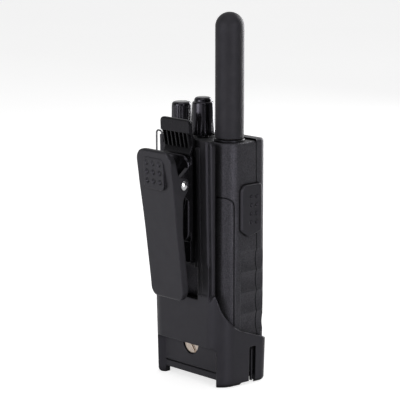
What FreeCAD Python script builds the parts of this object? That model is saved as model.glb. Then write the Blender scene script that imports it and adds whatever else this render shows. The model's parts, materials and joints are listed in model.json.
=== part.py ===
"""Portable two-way radio carried in a belt-clip holster, as an assembly of separate pieces.

Frame: +Z up, millimetres. The origin is on the plane of the holster's feet, on the radio's middle plane.
-Y is the radio's front (speaker) side, +Y is the side of the belt clip, and -X is the side of the antenna
and the talk button.
"""

import FreeCAD
import Part

import math
import os

V = FreeCAD.Vector
X_AXIS, Y_AXIS, Z_AXIS = V(1, 0, 0), V(0, 1, 0), V(0, 0, 1)

# ---- driving dimensions ----
RADIO_HALF_WIDTH = 24.7
RADIO_BACK = 11.5
RADIO_FRONT = -15.1
RADIO_BOTTOM = 5.8
RADIO_TOP, COVER_TOP = 119.1, 120.0  # the front cover stands a little above the rear housing
FOOT_HALF_WIDTH = 24.0  # the radio gets narrower and thinner towards its foot
FOOT_FRONT, CROWN_FRONT = -12.2, -13.0
WAIST_Z, SHOULDER_Z = 75.0, 107.0  # the casing is deepest between these heights
CREASE = 3.4  # y where the rounded back corner meets the flat side
FRONT_HALF_WIDTH = 24.0
BACK_ROUND, FRONT_ROUND = 7.7, 5.0
PARTING_TOP, PARTING_FOOT = -7.2, -8.6  # y of the joint between front cover and rear housing
SEAM = 0.1  # visible gap between neighbouring casings
GROOVE_WIDTH, GROOVE_DEPTH = 0.5, 0.55  # shadow line around the battery door
SCALLOP_R, SCALLOP_PITCH, SCALLOP_LOW, SCALLOP_COUNT, SCALLOP_DEPTH = 14.0, 10.35, 30.0, 4, 0.95

CAVITY_HALF_WIDTH, CAVITY_LOW, CAVITY_HIGH = 22.6, 7.8, 116.2
COVER_CAVITY_FRONT = -10.6
BAY_HALF_WIDTH, BAY_FRONT, BAY_BACK, BAY_LOW, BAY_HIGH = 19.6, 0.6, 9.9, 25.0, 90.4
DOOR_EDGE = 6.9  # y of the battery door's side edge
DOOR_TOP = 92.6
LATCH_Z = 18.4
LATCH_R = 5.4
LATCH_HEAD_BACK, LATCH_HEAD_FRONT = 12.6, 9.8
LATCH_SHANK_R = 2.0
HOUSING_SCREWS = ((-17.0, 11.5), (17.0, 11.5), (-8.0, 94.6), (8.0, 94.6))  # x, z
PACK_PADS = (-9.0, -3.0, 3.0)  # x of the battery pack's pads
CHARGE_PADS, CHARGE_PAD_Y = (-7.5, 0.0, 7.5), 0.0
SPEAKER_Z = 80.0
MICROPHONE_X, MICROPHONE_Z = 12.0, 36.0

TOP_ROW_Y = 2.5  # antenna and knobs stand on this line
ANTENNA_X, ANTENNA_R, ANTENNA_TOP = -16.0, 6.9, 180.9
CHANNEL_X, CHANNEL_TOP, CHANNEL_R = 3.1, 138.5, 5.9
VOLUME_X, VOLUME_TOP, VOLUME_R = 18.9, 134.7, 5.0
SHAFT_R = 3.0
RUNNING = 0.05  # radial clearance of turning parts

TALK_FACE, TALK_BACK, TALK_FLOOR = -26.2, -24.3, -23.3  # x of the button's face and back, and of its pocket
TALK_LOW, TALK_HIGH = 73.0, 98.7
TALK_POST_Y, TALK_POST_Z, TALK_POST_R = -5.9, 86.0, 1.2
PORT_FLOOR, PORT_LOW, PORT_HIGH = 23.6, 80.0, 102.0
PORT_FRONT, PORT_BACK, PORT_FACE = -6.9, 2.1, 25.4
JACK_Y, JACK_FRONT, JACK_BACK, JACK_INNER = -4.05, -6.6, -1.5, 16.8
JACK_LOW, JACK_HIGH = 83.6, 98.4
JACKS = ((87.2, 1.8), (94.8, 1.3))  # height and bore radius

CUP_HALF_WIDTH, CUP_FRONT, CUP_BACK = 25.55, -14.5, 17.3  # at the foot
CUP_FLARE, CUP_FLARE_BACK, CUP_FLARE_TOP = 1.35, 0.9, 60.0  # how much it widens up to that height
CUP_BACK_ROUND, CUP_FRONT_ROUND = 9.5, 4.8
CUP_FLOOR = 3.2
POCKET_HALF_WIDTH, POCKET_FRONT = 24.65, -12.9
PANEL_HALF_WIDTH, PANEL_TOP, PANEL_BACK = 18.5, 19.5, 13.2
SPINE_HALF_WIDTH, SPINE_FRONT, SPINE_TOP = 19.9, 15.2, 120.5
SPINE_LOW = 46.0  # where the spine's leaning back runs out of the cup
LEDGE_LOW, LEDGE_HIGH = 16.7, 17.9  # y of the ledges beside the rails at SPINE_LOW and SPINE_TOP
RAIL_LOW, RAIL_HIGH = 17.8, 19.35  # y of the rails at the same heights
RAIL_HALF_WIDTH, STRIP_HALF_WIDTH, STRIP_TOP = 18.3, 13.3, 117.0
CHANNEL_HALF_WIDTH, CHANNEL_BOTTOM, CHANNEL_FLOOR = 10.5, 42.5, 18.0
SLOT_LOW, SLOT_LIP = 57.0, 17.0  # the clip's sliding slot: its lower end, and y of the inner side of the lips
LOOP_X, LOOP_Y, LOOP_LOW, LOOP_HIGH, LOOP_WIRE_R = 18.6, 18.8, 109.2, 122.2, 0.42
EYE_X = 15.6  # the corner of the spine is cut away from here outwards, behind the wire loop

PIN_Y, PIN_Z, PIN_R, PIN_HALF_LENGTH = 27.5, 99.6, 1.75, 12.35
LEVER_BOTTOM_HALF, LEVER_TOP_HALF = 11.5, 12.3
LEVER_BOTTOM, LEVER_TOP_Z, LEVER_WALL = 42.8, 116.5, 1.35
PAD_LOW, PAD_HIGH, PAD_HALF_WIDTH = 97.3, 112.6, 7.2
PLATE_FRONT, PLATE_STEP, PLATE_BACK = 20.2, 21.5, 23.4  # the clip base's plate and its raised layer
PLATE_HALF_WIDTH, PLATE_LOW, PLATE_TOP = 9.7, 71.0, 113.4
FOOT_BACK, BASE_TOP = 17.0, 112.0  # the clip base's foot in the slot
TAB_HALF_WIDTH, TAB_TOP = 10.2, 130.4
TAB_HINGE_Y, TAB_HINGE_Z, TAB_HINGE_R = 21.5, 113.7, 0.8


# ---- small modelling helpers ----
def block(x0, x1, y0, y1, z0, z1):
    return Part.makeBox(x1 - x0, y1 - y0, z1 - z0, V(x0, y0, z0))


def rod(x, y, z, direction, radius, length):
    return Part.makeCylinder(radius, length, V(x, y, z), direction)


def outline(corners, place):
    """Closed wire through corners (u, v, r), each rounded by its radius r. place turns (u, v) into a point."""
    flat = [(V(u, v, 0), r) for u, v, r in corners]
    runs = []
    for i, (corner, r) in enumerate(flat):
        back = (flat[i - 1][0] - corner).normalize()
        ahead = (flat[(i + 1) % len(flat)][0] - corner).normalize()
        if r == 0:
            runs.append((corner, None, corner))
            continue
        half = back.getAngle(ahead) / 2
        bisector = (back + ahead).normalize()
        reach = r / math.tan(half)
        middle = corner + bisector * (r / math.sin(half) - r)
        runs.append((corner + back * reach, middle, corner + ahead * reach))
    edges = []
    for i, (start, middle, end) in enumerate(runs):
        if middle is not None:
            edges.append(Part.Arc(place(start), place(middle), place(end)).toShape())
        following = runs[(i + 1) % len(runs)][0]
        if (following - end).Length > 1e-6:
            edges.append(Part.makeLine(place(end), place(following)))
    return Part.Wire(edges)


def prism(corners, axis, low, high):
    """Rounded polygon pushed along an axis. Corners: (x, y, r) for "z", (x, z, r) for "y", (y, z, r) for "x"."""
    places = {
        "z": (lambda p: V(p.x, p.y, low), Z_AXIS),
        "y": (lambda p: V(p.x, low, p.y), Y_AXIS),
        "x": (lambda p: V(low, p.x, p.y), X_AXIS),
    }
    place, direction = places[axis]
    return Part.Face(outline(corners, place)).extrude(direction * (high - low))


def rounded_rect(u0, u1, v0, v1, r):
    return [(u0, v0, r), (u1, v0, r), (u1, v1, r), (u0, v1, r)]


def mirrored(half):
    """Corners given for positive u, completed with their mirror images."""
    return half + [(-u, v, r) for u, v, r in reversed(half)]


def turned(profile, x, y):
    """Solid of revolution about the vertical line at x, y. Profile is (radius, height, rounding)."""
    ends = [(0, profile[0][1], 0)] + profile + [(0, profile[-1][1], 0)]
    wire = outline(ends, lambda p: V(x + p.x, y, p.y))
    return Part.Face(wire).revolve(V(x, y, 0), Z_AXIS, 360)


def both_sides(shape):
    return shape.fuse(shape.mirror(V(0, 0, 0), X_AXIS))


def eased(shape, radius, chosen):
    """Rounds the edges for which chosen(middle point, bounding box) is true."""
    edges = [e for e in shape.Edges if chosen(e.BoundBox.Center, e.BoundBox)]
    return shape.makeFillet(radius, edges)


def joined(shapes):
    return shapes[0].multiFuse(shapes[1:]).removeSplitter()


def grip_dimples(centre_u, low, columns, rows, pitch_u, pitch_v, radius, place):
    """A grid of balls, to be cut from a grip. place turns (u, v) into a ball's centre."""
    balls = []
    for row in range(rows):
        for column in range(columns):
            u = centre_u + (column - (columns - 1) / 2) * pitch_u
            balls.append(Part.makeSphere(radius, place(u, low + row * pitch_v)))
    return Part.makeCompound(balls)


# ---- radio casing ----
def radio_plan(inset=0.0):
    """Plan outline of the whole radio, as corners for prism along z."""
    side, front = RADIO_HALF_WIDTH - inset, FRONT_HALF_WIDTH - inset
    return mirrored(
        [
            (front, RADIO_FRONT + inset, FRONT_ROUND - inset),
            (side, CREASE, 0),
            (side - 0.5, RADIO_BACK - inset, BACK_ROUND - inset),
        ]
    )


def radio_body(top):
    """The whole casing as one solid up to the given height. It is deepest at its waist."""
    body = prism(radio_plan(), "z", RADIO_BOTTOM, top)
    far = RADIO_FRONT - 5
    front_shave = prism(
        [
            (far, 0, 0),
            (FOOT_FRONT, 0, 0),
            (FOOT_FRONT, RADIO_BOTTOM, 0),
            (FOOT_FRONT - 0.6, 30, 60),
            (RADIO_FRONT, WAIST_Z - 4, 40),
            (RADIO_FRONT + 0.5, SHOULDER_Z - 2.5, 3),
            (CROWN_FRONT - 0.8, SHOULDER_Z, 3),
            (CROWN_FRONT, COVER_TOP + 5, 0),
            (far, COVER_TOP + 5, 0),
        ],
        "x", -40, 40,
    )
    side_shave = both_sides(
        prism(
            [
                (40, 0, 0),
                (FOOT_HALF_WIDTH, 0, 0),
                (FOOT_HALF_WIDTH, RADIO_BOTTOM, 0),
                (RADIO_HALF_WIDTH, WAIST_Z, 0),
                (40, WAIST_Z, 0),
            ],
            "y", -20, 20,
        )
    )
    body = body.cut([front_shave, side_shave])
    body = eased(body, 1.2, lambda c, b: b.ZLength < 0.01 and abs(c.z - top) < 0.01)
    return body.cut(finger_scallops())


def finger_scallops():
    """Shallow finger grips on both flat sides, each one a long cylinder lying along the side."""
    slope = math.atan2(RADIO_HALF_WIDTH - FRONT_HALF_WIDTH, CREASE - RADIO_FRONT)
    along = V(math.sin(slope), math.cos(slope), 0)
    narrowing = (RADIO_HALF_WIDTH - FOOT_HALF_WIDTH) / (WAIST_Z - RADIO_BOTTOM)
    flat_side = block(20, 30, -20, CREASE - 0.9, 20, 70)
    cutters = []
    for i in range(SCALLOP_COUNT):
        z = SCALLOP_LOW + i * SCALLOP_PITCH
        side = FRONT_HALF_WIDTH - (WAIST_Z - z) * narrowing / 2
        start = V(side - SCALLOP_DEPTH + SCALLOP_R, RADIO_FRONT, z) - along * 2
        scallop = Part.makeCylinder(SCALLOP_R, CREASE - RADIO_FRONT + 1, start, along)
        cutters.append(both_sides(scallop.common(flat_side)))
    return cutters


def behind_parting(offset):
    """Everything behind the slanted joint of front cover and rear housing, moved back by an offset."""
    foot, top = PARTING_FOOT + offset, PARTING_TOP + offset
    return prism(
        [(foot, 0, 0), (foot, RADIO_BOTTOM, 0), (top, RADIO_TOP, 0), (top, 130, 0), (40, 130, 0), (40, 0, 0)],
        "x", -40, 40,
    )


def door_zone(grow=0.0):
    """The space of the battery door: the radio's lower back, with rounded upper corners on the sides."""
    edge, top = DOOR_EDGE - grow, DOOR_TOP + grow
    return prism([(edge, 0, 0), (20, 0, 0), (20, top, 0), (edge, top, 4.5)], "x", -40, 40)


def talk_outline(grow=0.0):
    """Side view of the talk button, as (y, z, r)."""
    back, front = 3.7 + grow, -9.7 - grow
    return [
        (back, TALK_LOW + 3.4 - grow / 2, 1.5),
        (-1.3, TALK_LOW - grow, 2.0),
        (front, TALK_LOW + 2.4 - grow, 1.5),
        (front, TALK_HIGH + grow, 1.5),
        (back, TALK_HIGH + grow, 3.8),
    ]


def rear_housing(body):
    housing = body.common(behind_parting(0)).cut(door_zone(SEAM))
    electronics = prism(
        rounded_rect(-CAVITY_HALF_WIDTH, CAVITY_HALF_WIDTH, CAVITY_LOW, CAVITY_HIGH, 3), "y", -10, -1.4
    )
    control_space = prism(radio_plan(1.7), "z", 93.6, CAVITY_HIGH).cut(block(-40, 40, -20, -9, 90, 120))
    bay = prism(rounded_rect(-BAY_HALF_WIDTH, BAY_HALF_WIDTH, BAY_LOW, BAY_HIGH, 2), "y", BAY_FRONT, 20)
    latch_bore = rod(0, 2.0, LATCH_Z, Y_AXIS, LATCH_SHANK_R + RUNNING, 10)
    talk_window = prism(talk_outline(0.15), "x", -30, TALK_FLOOR)
    talk_post_hole = rod(-30, TALK_POST_Y, TALK_POST_Z, X_AXIS, TALK_POST_R + 0.2, 8)
    port_pocket = prism(rounded_rect(PORT_FRONT, PORT_BACK, PORT_LOW, PORT_HIGH, 1.5), "x", PORT_FLOOR, 30)
    jack_window = prism(
        rounded_rect(JACK_FRONT - 0.1, JACK_BACK + 0.1, JACK_LOW - 0.1, JACK_HIGH + 0.1, 1), "x", 20, 30
    )
    housing = housing.cut([electronics, control_space, bay, latch_bore])
    housing = housing.cut([talk_window, talk_post_hole, port_pocket, jack_window])
    shaft_holes = [rod(x, TOP_ROW_Y, 110, Z_AXIS, SHAFT_R + 0.3, 20) for x in (CHANNEL_X, VOLUME_X)]
    socket_hole = rod(ANTENNA_X, TOP_ROW_Y, 110, Z_AXIS, 4.0, 20)
    lens_hole = prism(lens_outline(0.1), "z", 110, 125)
    lower_screw_holes = [rod(x, -8, z, Y_AXIS, 1.25, 30) for x, z in HOUSING_SCREWS if z < LATCH_Z]
    contact_wells = [rod(x, CHARGE_PAD_Y, 0, Z_AXIS, 1.95, RADIO_BOTTOM + 1.65) for x in CHARGE_PADS]
    door_groove = door_zone(GROOVE_WIDTH).cut(prism(radio_plan(GROOVE_DEPTH), "z", 0, 130))
    holes = shaft_holes + [socket_hole, lens_hole, door_groove] + lower_screw_holes + contact_wells
    return joined([housing.cut(holes), screw_bosses()])


def screw_bosses():
    """Posts for the two upper housing screws, standing on the wall above the battery bay."""
    upper = [(x, z) for x, z in HOUSING_SCREWS if z > LATCH_Z]
    posts = Part.makeCompound([rod(x, -1.5, z, Y_AXIS, 2.4, 5.0) for x, z in upper])
    posts = posts.common(block(-30, 30, -1.4, 4, BAY_HIGH, BAY_HIGH + 6.6))
    return posts.cut([rod(x, -3, z, Y_AXIS, 1.05, 5) for x, z in upper])


def lens_outline(grow=0.0):
    return rounded_rect(-4.5 - grow, -1.1 + grow, -5.1 - grow, -2.9 + grow, 0.85)


def front_cover(body):
    cover = body.cut(behind_parting(-SEAM))
    cavity = prism(
        rounded_rect(-CAVITY_HALF_WIDTH, CAVITY_HALF_WIDTH, CAVITY_LOW, CAVITY_HIGH, 3), "y", COVER_CAVITY_FRONT, 0
    )
    talk_window = prism(talk_outline(0.15), "x", -30, TALK_FLOOR)
    microphone_hole = rod(MICROPHONE_X, -20, MICROPHONE_Z, Y_AXIS, 0.7, 12)
    dish = Part.makeTorus(20.4, 0.75, V(0, RADIO_FRONT - 0.2, SPEAKER_Z), Y_AXIS)
    badge = prism(rounded_rect(-9, 9, 102.0, 105.0, 1.2), "y", -20, RADIO_FRONT + 0.9)
    return cover.cut([cavity, talk_window, microphone_hole, dish, badge, frame_groove(body)] + grille_slots())


def frame_groove(body):
    """Shallow rounded frame engraved in the lower front."""
    depth, line = 0.45, 0.8
    low, high, half = 18.0, 53.0, 17.0
    outside = prism(rounded_rect(-half, half, low, high, 3.5), "y", -20, -9)
    inside = prism(rounded_rect(line - half, half - line, low + line, high - line, 2.7), "y", -20, -9)
    skin = body.cut(body.translated(V(0, depth, 0))).common(block(-30, 30, -20, -9, 10, 60))
    return outside.cut(inside).common(skin)


def grille_slots():
    """Sound slots that fill a round field in front of the speaker."""
    slots = []
    count, pitch, half_height, field_radius = 11, 3.1, 0.75, 17.5
    for i in range(count):
        rise = (i - (count - 1) / 2) * pitch
        half = math.sqrt(field_radius**2 - rise**2)
        z = SPEAKER_Z + rise
        corners = rounded_rect(-half, half, z - half_height, z + half_height, half_height - 0.01)
        slots.append(prism(corners, "y", -20, COVER_CAVITY_FRONT + 1))
    return slots


def battery_door(body):
    door = body.common(door_zone())
    hollow = prism(rounded_rect(-BAY_HALF_WIDTH, BAY_HALF_WIDTH, BAY_LOW, BAY_HIGH, 2), "y", 0, BAY_BACK)
    screw_seat = rod(0, LATCH_HEAD_FRONT - 0.05, LATCH_Z, Y_AXIS, LATCH_R + RUNNING, 5)
    screw_bore = rod(0, 5, LATCH_Z, Y_AXIS, LATCH_SHANK_R + RUNNING, 6)
    head_wells = [rod(x, 0, z, Y_AXIS, 2.6, 8.6) for x, z in HOUSING_SCREWS if z < LATCH_Z]
    return door.cut([hollow, screw_seat, screw_bore] + head_wells)


def latch_screw():
    """Coin-slot screw that holds the battery door. Its slot stands at a slant."""
    head = rod(0, LATCH_HEAD_FRONT, LATCH_Z, Y_AXIS, LATCH_R, LATCH_HEAD_BACK - LATCH_HEAD_FRONT)
    head = eased(head, 0.4, lambda c, b: abs(c.y - LATCH_HEAD_BACK) < 0.01 and b.YLength < 0.01)
    shank = rod(0, 3.0, LATCH_Z, Y_AXIS, LATCH_SHANK_R, LATCH_HEAD_BACK - 4.4)
    slot = block(-0.8, 0.8, LATCH_HEAD_BACK - 0.9, LATCH_HEAD_BACK + 1, LATCH_Z - 8, LATCH_Z + 8)
    slot.rotate(V(0, 0, LATCH_Z), Y_AXIS, 35)
    return joined([head, shank]).cut(slot)


# ---- radio inside ----
def battery_pack():
    half = BAY_HALF_WIDTH - 0.5
    front, back = BAY_FRONT + 0.3, 9.6
    cell = eased(block(-half, half, front, back, BAY_LOW + 0.4, 78.2), 1.2, lambda c, b: b.YLength > 5)
    head = eased(block(-half, half, front, back, 78.8, BAY_HIGH - 1.6), 1.2, lambda c, b: b.YLength > 5)
    waist = block(-half + 0.4, half - 0.4, BAY_FRONT + 0.7, 9.2, 77.9, 79.1)
    pads = [block(x - 1.6, x + 1.6, 3.2, 7.6, BAY_HIGH - 1.7, BAY_HIGH - 1.3) for x in PACK_PADS]
    return joined([cell, head, waist] + pads)


def battery_contacts():
    """Sprung metal fingers between the pack's pads and the housing."""
    root, tip = BAY_HIGH - 0.1, BAY_HIGH - 1.25
    fingers = []
    for x in PACK_PADS:
        strip = [
            (3.6, root, 0),
            (3.6, root - 0.3, 0),
            (5.4, tip, 0),
            (7.2, root - 0.3, 0),
            (7.2, root, 0),
            (5.4, tip + 0.35, 0),
        ]
        fingers.append(prism(strip, "x", x - 1.1, x + 1.1))
    return Part.makeCompound(fingers)


def chassis_frame():
    plate = prism(rounded_rect(-22.2, 22.2, 8.3, 98.4, 2.4), "y", -2.5, -1.5)
    middles = [(x, z) for x in (-11, 11) for z in (38, 62)]
    windows = [prism(rounded_rect(x - 7, x + 7, z - 8, z + 8, 2), "y", -4, 0) for x, z in middles]
    notches = [rod(x, -4, z, Y_AXIS, 2.6, 6) for x, z in HOUSING_SCREWS]
    return plate.cut(windows + notches + [jack_notch()])


def main_board():
    board = prism(rounded_rect(-22.0, 22.0, 8.6, 98.0, 2), "y", -4.1, -2.6)
    return board.cut([rod(x, -6, z, Y_AXIS, 2.4, 6) for x, z in HOUSING_SCREWS] + [jack_notch()])


def jack_notch():
    """The corner of board and chassis that makes room for the accessory jack."""
    return block(JACK_INNER - 0.2, 30, -10, 0, JACK_LOW - 0.2, 110)


def shield_can(x0, x1, z0, z1):
    outer = eased(block(x0, x1, -5.8, -4.15, z0, z1), 0.5, lambda c, b: c.y < -5.7 or b.YLength > 1)
    return outer.cut(block(x0 + 0.3, x1 - 0.3, -5.5, -4, z0 + 0.3, z1 - 0.3))


def shield_cans():
    cans = [shield_can(-19, -1, 26, 58), shield_can(1.5, 19, 40, 58), shield_can(1.5, 19, 14, 32)]
    return Part.makeCompound(cans)


def speaker():
    basket = rod(0, -10.1, SPEAKER_Z, Y_AXIS, 16.5, 3.8)
    magnet = rod(0, -6.4, SPEAKER_Z, Y_AXIS, 9.5, 1.9)
    cone_space = Part.makeCone(14.6, 6.0, 1.6, V(0, -10.2, SPEAKER_Z), Y_AXIS)
    dome = Part.makeSphere(6.0, V(0, -5.0, SPEAKER_Z)).common(rod(0, -10.0, SPEAKER_Z, Y_AXIS, 5.2, 2.5))
    return joined([joined([basket, magnet]).cut(cone_space), dome])


def speaker_screen():
    return rod(0, COVER_CAVITY_FRONT + 0.02, SPEAKER_Z, Y_AXIS, 18.6, 0.4)


def speaker_gasket():
    ring = rod(0, -10.1, SPEAKER_Z, Y_AXIS, 18.4, 3.0)
    return ring.cut(rod(0, -11, SPEAKER_Z, Y_AXIS, 16.7, 5))


def microphone():
    """Microphone capsule in its soft boot behind the front cover's sound hole."""
    x, z = MICROPHONE_X, MICROPHONE_Z
    capsule = rod(x, -10.3, z, Y_AXIS, 3.0, 2.2)
    boot = rod(x, -10.55, z, Y_AXIS, 4.0, 2.9).cut([capsule, rod(x, -11, z, Y_AXIS, 0.8, 1)])
    return Part.makeCompound([capsule, boot])


def housing_seal():
    half = CAVITY_HALF_WIDTH - 0.1
    ring = prism(rounded_rect(-half, half, CAVITY_LOW + 0.1, CAVITY_HIGH - 0.1, 2.9), "y", -12, 0)
    inside = rounded_rect(-half + 0.9, half - 0.9, CAVITY_LOW + 1, CAVITY_HIGH - 1, 2.0)
    ring = ring.cut(prism(inside, "y", -14, 2))
    return ring.common(behind_parting(-1.2)).cut(behind_parting(-0.2))


def housing_screws():
    """Screws that hold the rear housing: two beside the battery latch, two below the controls."""
    screws = []
    for x, z in HOUSING_SCREWS:
        if z < LATCH_Z:
            head = rod(x, 7.1, z, Y_AXIS, 2.2, 1.1)
            shank = rod(x, -1.3, z, Y_AXIS, 1.0, 8.5)
            recess_y = 7.7
        else:
            head = rod(x, -5.6, z, Y_AXIS, 2.0, 1.2)
            shank = rod(x, -4.5, z, Y_AXIS, 1.0, 5.5)
            recess_y = -5.7
        arm_a = block(x - 1.2, x + 1.2, recess_y, recess_y + 0.6, z - 0.25, z + 0.25)
        arm_b = block(x - 0.25, x + 0.25, recess_y, recess_y + 0.6, z - 1.2, z + 1.2)
        screws.append(joined([head, shank]).cut(joined([arm_a, arm_b])))
    return Part.makeCompound(screws)


def antenna_socket():
    nut = turned([(5.0, 113.0, 0), (5.0, CAVITY_HIGH - 0.1, 0)], ANTENNA_X, TOP_ROW_Y)
    tube = turned([(3.95, 107.0, 0), (3.95, RADIO_TOP + 0.6, 0.4)], ANTENNA_X, TOP_ROW_Y)
    return joined([nut, tube]).cut(rod(ANTENNA_X, TOP_ROW_Y, 108.5, Z_AXIS, 2.4, 20))


def antenna_core():
    """Threaded stud, whip rod and its wound radiator inside the sheath."""
    stud = turned([(2.35, 109.0, 0.3), (2.35, RADIO_TOP + 1.1, 0)], ANTENNA_X, TOP_ROW_Y)
    base = turned([(4.6, RADIO_TOP + 0.9, 0), (4.6, RADIO_TOP + 5.7, 0.5)], ANTENNA_X, TOP_ROW_Y)
    whip = turned([(1.6, RADIO_TOP + 5.2, 0), (1.6, 172.0, 0.8)], ANTENNA_X, TOP_ROW_Y)
    rings = [turned([(2.6, z, 0.3), (2.6, z + 1.0, 0.3)], ANTENNA_X, TOP_ROW_Y) for z in range(129, 170, 3)]
    return joined([stud, base, whip] + rings)


def antenna_sheath():
    """Rubber sleeve with a domed top."""
    low = RADIO_TOP + 1.4
    sheath = turned([(ANTENNA_R, low, 0.5), (ANTENNA_R, ANTENNA_TOP, ANTENNA_R - 0.05)], ANTENNA_X, TOP_ROW_Y)
    base_bore = turned([(4.62, low - 1, 0), (4.62, RADIO_TOP + 5.75, 0)], ANTENNA_X, TOP_ROW_Y)
    whip_bore = turned([(2.65, low - 1, 0), (2.65, 172.1, 0)], ANTENNA_X, TOP_ROW_Y)
    return sheath.cut([base_bore, whip_bore])


def antenna_collar():
    ring = turned([(7.4, RADIO_TOP + 0.02, 0), (7.4, RADIO_TOP + 1.2, 0.4)], ANTENNA_X, TOP_ROW_Y)
    return ring.cut(rod(ANTENNA_X, TOP_ROW_Y, 110, Z_AXIS, 4.7, 20))


def fluted(shape, x, radius, flutes, flute_radius, bite, low, high):
    """Cuts a ring of upright round flutes into a knob standing at x."""
    cutters = []
    reach = radius + flute_radius - bite
    for i in range(flutes):
        angle = 2 * math.pi * (i + 0.5) / flutes
        flute_x, flute_y = x + reach * math.cos(angle), TOP_ROW_Y + reach * math.sin(angle)
        cutters.append(rod(flute_x, flute_y, low, Z_AXIS, flute_radius, high - low))
    return shape.cut(cutters)


def knob_shaft(x, top):
    """Metal shaft with a flat, from the control body below up into the knob."""
    shaft = rod(x, TOP_ROW_Y, 104.5, Z_AXIS, SHAFT_R, top - 104.5)
    return shaft.cut(block(x - 5, x + 5, TOP_ROW_Y + 1.6, TOP_ROW_Y + 5, RADIO_TOP + 3, top + 1))


def channel_knob():
    """Tall tapered knob: a fluted skirt that ends in a shoulder, and a smooth domed core above it."""
    low, shoulder = RADIO_TOP + 0.9, CHANNEL_TOP - 2.2
    skirt = turned([(CHANNEL_R, low, 0.3), (CHANNEL_R - 0.7, shoulder, 0.9)], CHANNEL_X, TOP_ROW_Y)
    skirt = fluted(skirt, CHANNEL_X, CHANNEL_R - 0.1, 12, 1.5, 0.3, low - 1, shoulder - 1.2)
    core = turned([(4.3, low + 1, 0), (4.3, CHANNEL_TOP, 1.7)], CHANNEL_X, TOP_ROW_Y)
    return joined([skirt, core]).cut(knob_shaft(CHANNEL_X, 131.0))


def volume_knob():
    """Short knob with a finely knurled wall, a rounded rim and a pointer line on top."""
    low = RADIO_TOP + 0.9
    knob = turned([(VOLUME_R, low, 0.3), (VOLUME_R - 0.2, VOLUME_TOP, 1.5)], VOLUME_X, TOP_ROW_Y)
    knob = fluted(knob, VOLUME_X, VOLUME_R - 0.05, 22, 0.55, 0.3, low - 1, VOLUME_TOP - 1.8)
    mark = rounded_rect(VOLUME_X - 0.4, VOLUME_X + 0.4, TOP_ROW_Y - 3.9, TOP_ROW_Y - 1.4, 0.39)
    pointer = prism(mark, "z", VOLUME_TOP - 0.35, VOLUME_TOP + 1)
    return knob.cut([pointer, knob_shaft(VOLUME_X, 129.0)])


def control_body(x):
    """Potentiometer or rotary switch under a knob, with a threaded bush and nut around the shaft."""
    half = 3.4
    can = block(x - half, x + half, TOP_ROW_Y - 4.5, TOP_ROW_Y + 2.7, 101.5, 110.5)
    can = eased(can, 0.5, lambda c, b: b.ZLength > 5)
    bush = rod(x, TOP_ROW_Y, 110.4, Z_AXIS, 3.7, 2.4)
    pin_starts = [x - 3 + 2.6 * i for i in range(3)]
    pins = [block(start, start + 0.8, TOP_ROW_Y - 0.2, TOP_ROW_Y + 0.2, 99.2, 101.6) for start in pin_starts]
    return joined([can, bush] + pins).cut(rod(x, TOP_ROW_Y, 104.4, Z_AXIS, SHAFT_R + RUNNING, 20))


def status_lens():
    lens = prism(lens_outline(), "z", 115.4, RADIO_TOP + 0.35)
    return eased(lens, 0.3, lambda c, b: abs(c.z - RADIO_TOP - 0.35) < 0.01 and b.ZLength < 0.01)


def talk_button():
    """Talk button: rounded slab with two columns of dimples, and a post towards the switch."""
    slab = prism(talk_outline(), "x", TALK_FACE, TALK_BACK)
    slab = eased(slab, 0.9, lambda c, b: abs(c.x - TALK_FACE) < 0.01 and b.XLength < 0.01)
    dimples = grip_dimples(-4.2, 80.3, 2, 4, 3.5, 4.15, 1.25, lambda u, v: V(TALK_FACE - 0.65, u, v))
    post = rod(TALK_BACK - 0.1, TALK_POST_Y, TALK_POST_Z, X_AXIS, TALK_POST_R, 1.4)
    return joined([slab.cut(dimples), post])


def talk_plunger():
    return rod(TALK_BACK + 1.32, TALK_POST_Y, TALK_POST_Z, X_AXIS, 0.9, 1.4)


def talk_switch():
    y, z = TALK_POST_Y, TALK_POST_Z
    body = block(-22.0, -19.0, y - 1.6, y + 1.75, z - 2.8, z + 2.8)
    return body.cut([block(-21.7, -19.8, y - 1.3, y + 1.3, z - 1.6, z + 1.6), rod(-23, y, z, X_AXIS, 1.0, 2)])


def accessory_jack():
    face = rounded_rect(JACK_FRONT, JACK_BACK, JACK_LOW, JACK_HIGH, 0.8)
    body = prism(face, "x", JACK_INNER, PORT_FLOOR - 0.05)
    return body.cut([rod(JACK_INNER + 0.8, JACK_Y, z, X_AXIS, r, 12) for z, r in JACKS])


def port_cover():
    """Dust flap over the accessory jacks, hinged along its front edge."""
    gap = 0.12
    corners = rounded_rect(PORT_FRONT + gap, PORT_BACK - 0.22, PORT_LOW + gap, PORT_HIGH - gap, 1.4)
    flap = prism(corners, "x", PORT_FLOOR + 0.1, PORT_FACE)
    flap = eased(flap, 0.5, lambda c, b: abs(c.x - PORT_FACE) < 0.01 and b.XLength < 0.01)
    ribs = []
    for i in range(7):
        z = PORT_LOW + 3.5 + 2.5 * i
        rib = rounded_rect(-4.8, 1.0, z - 0.4, z + 0.4, 0.39)
        ribs.append(prism(rib, "x", PORT_FACE - 0.1, PORT_FACE + 0.25))
    return joined([flap] + ribs)


def charge_contacts():
    """Gilt charging pads set in the radio's foot."""
    pads = [rod(x, CHARGE_PAD_Y, RADIO_BOTTOM - 0.02, Z_AXIS, 1.9, 1.6) for x in CHARGE_PADS]
    return Part.makeCompound(pads)


# ---- holster ----
def cup_plan(half_width, front, back, back_round, front_round):
    return mirrored([(half_width, front, front_round), (half_width, back, back_round)])


def level_outline(corners, z):
    return outline(corners, lambda p: V(p.x, p.y, z))


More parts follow.
